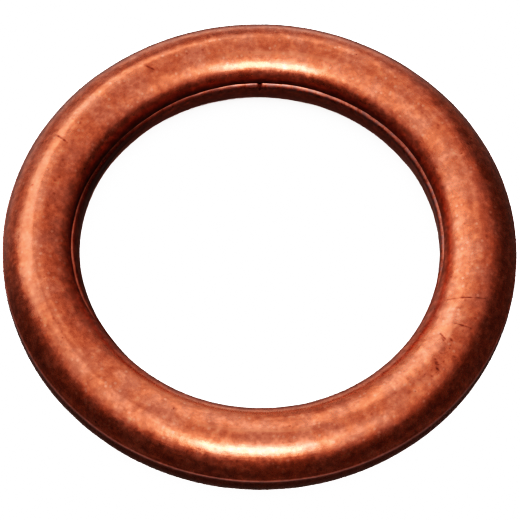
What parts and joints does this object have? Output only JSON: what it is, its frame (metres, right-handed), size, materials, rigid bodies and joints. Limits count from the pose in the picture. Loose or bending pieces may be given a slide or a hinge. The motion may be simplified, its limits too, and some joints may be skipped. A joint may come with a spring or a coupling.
{
  "type": "crush washer",
  "caption": "Hollow copper crush washer rolled from sheet, with a rounded outer edge and an open seam in the bore; it squashes under a drain plug or banjo bolt to seal the joint.",
  "frame": {"origin": "on the ring's axis, in the plane of the lower sealing face that it rests on", "axes": "+Z along the ring's axis, from the lower sealing face to the upper one; X and Y are free, because the ring is round"},
  "size_m": [0.02, 0.02, 0.003],
  "materials": {
    "copper": "satin rolled copper sheet, lightly tarnished and scuffed"
  },
  "bodies": {
    "root": {"crush_washer": "copper"}
  },
  "joints": []
}
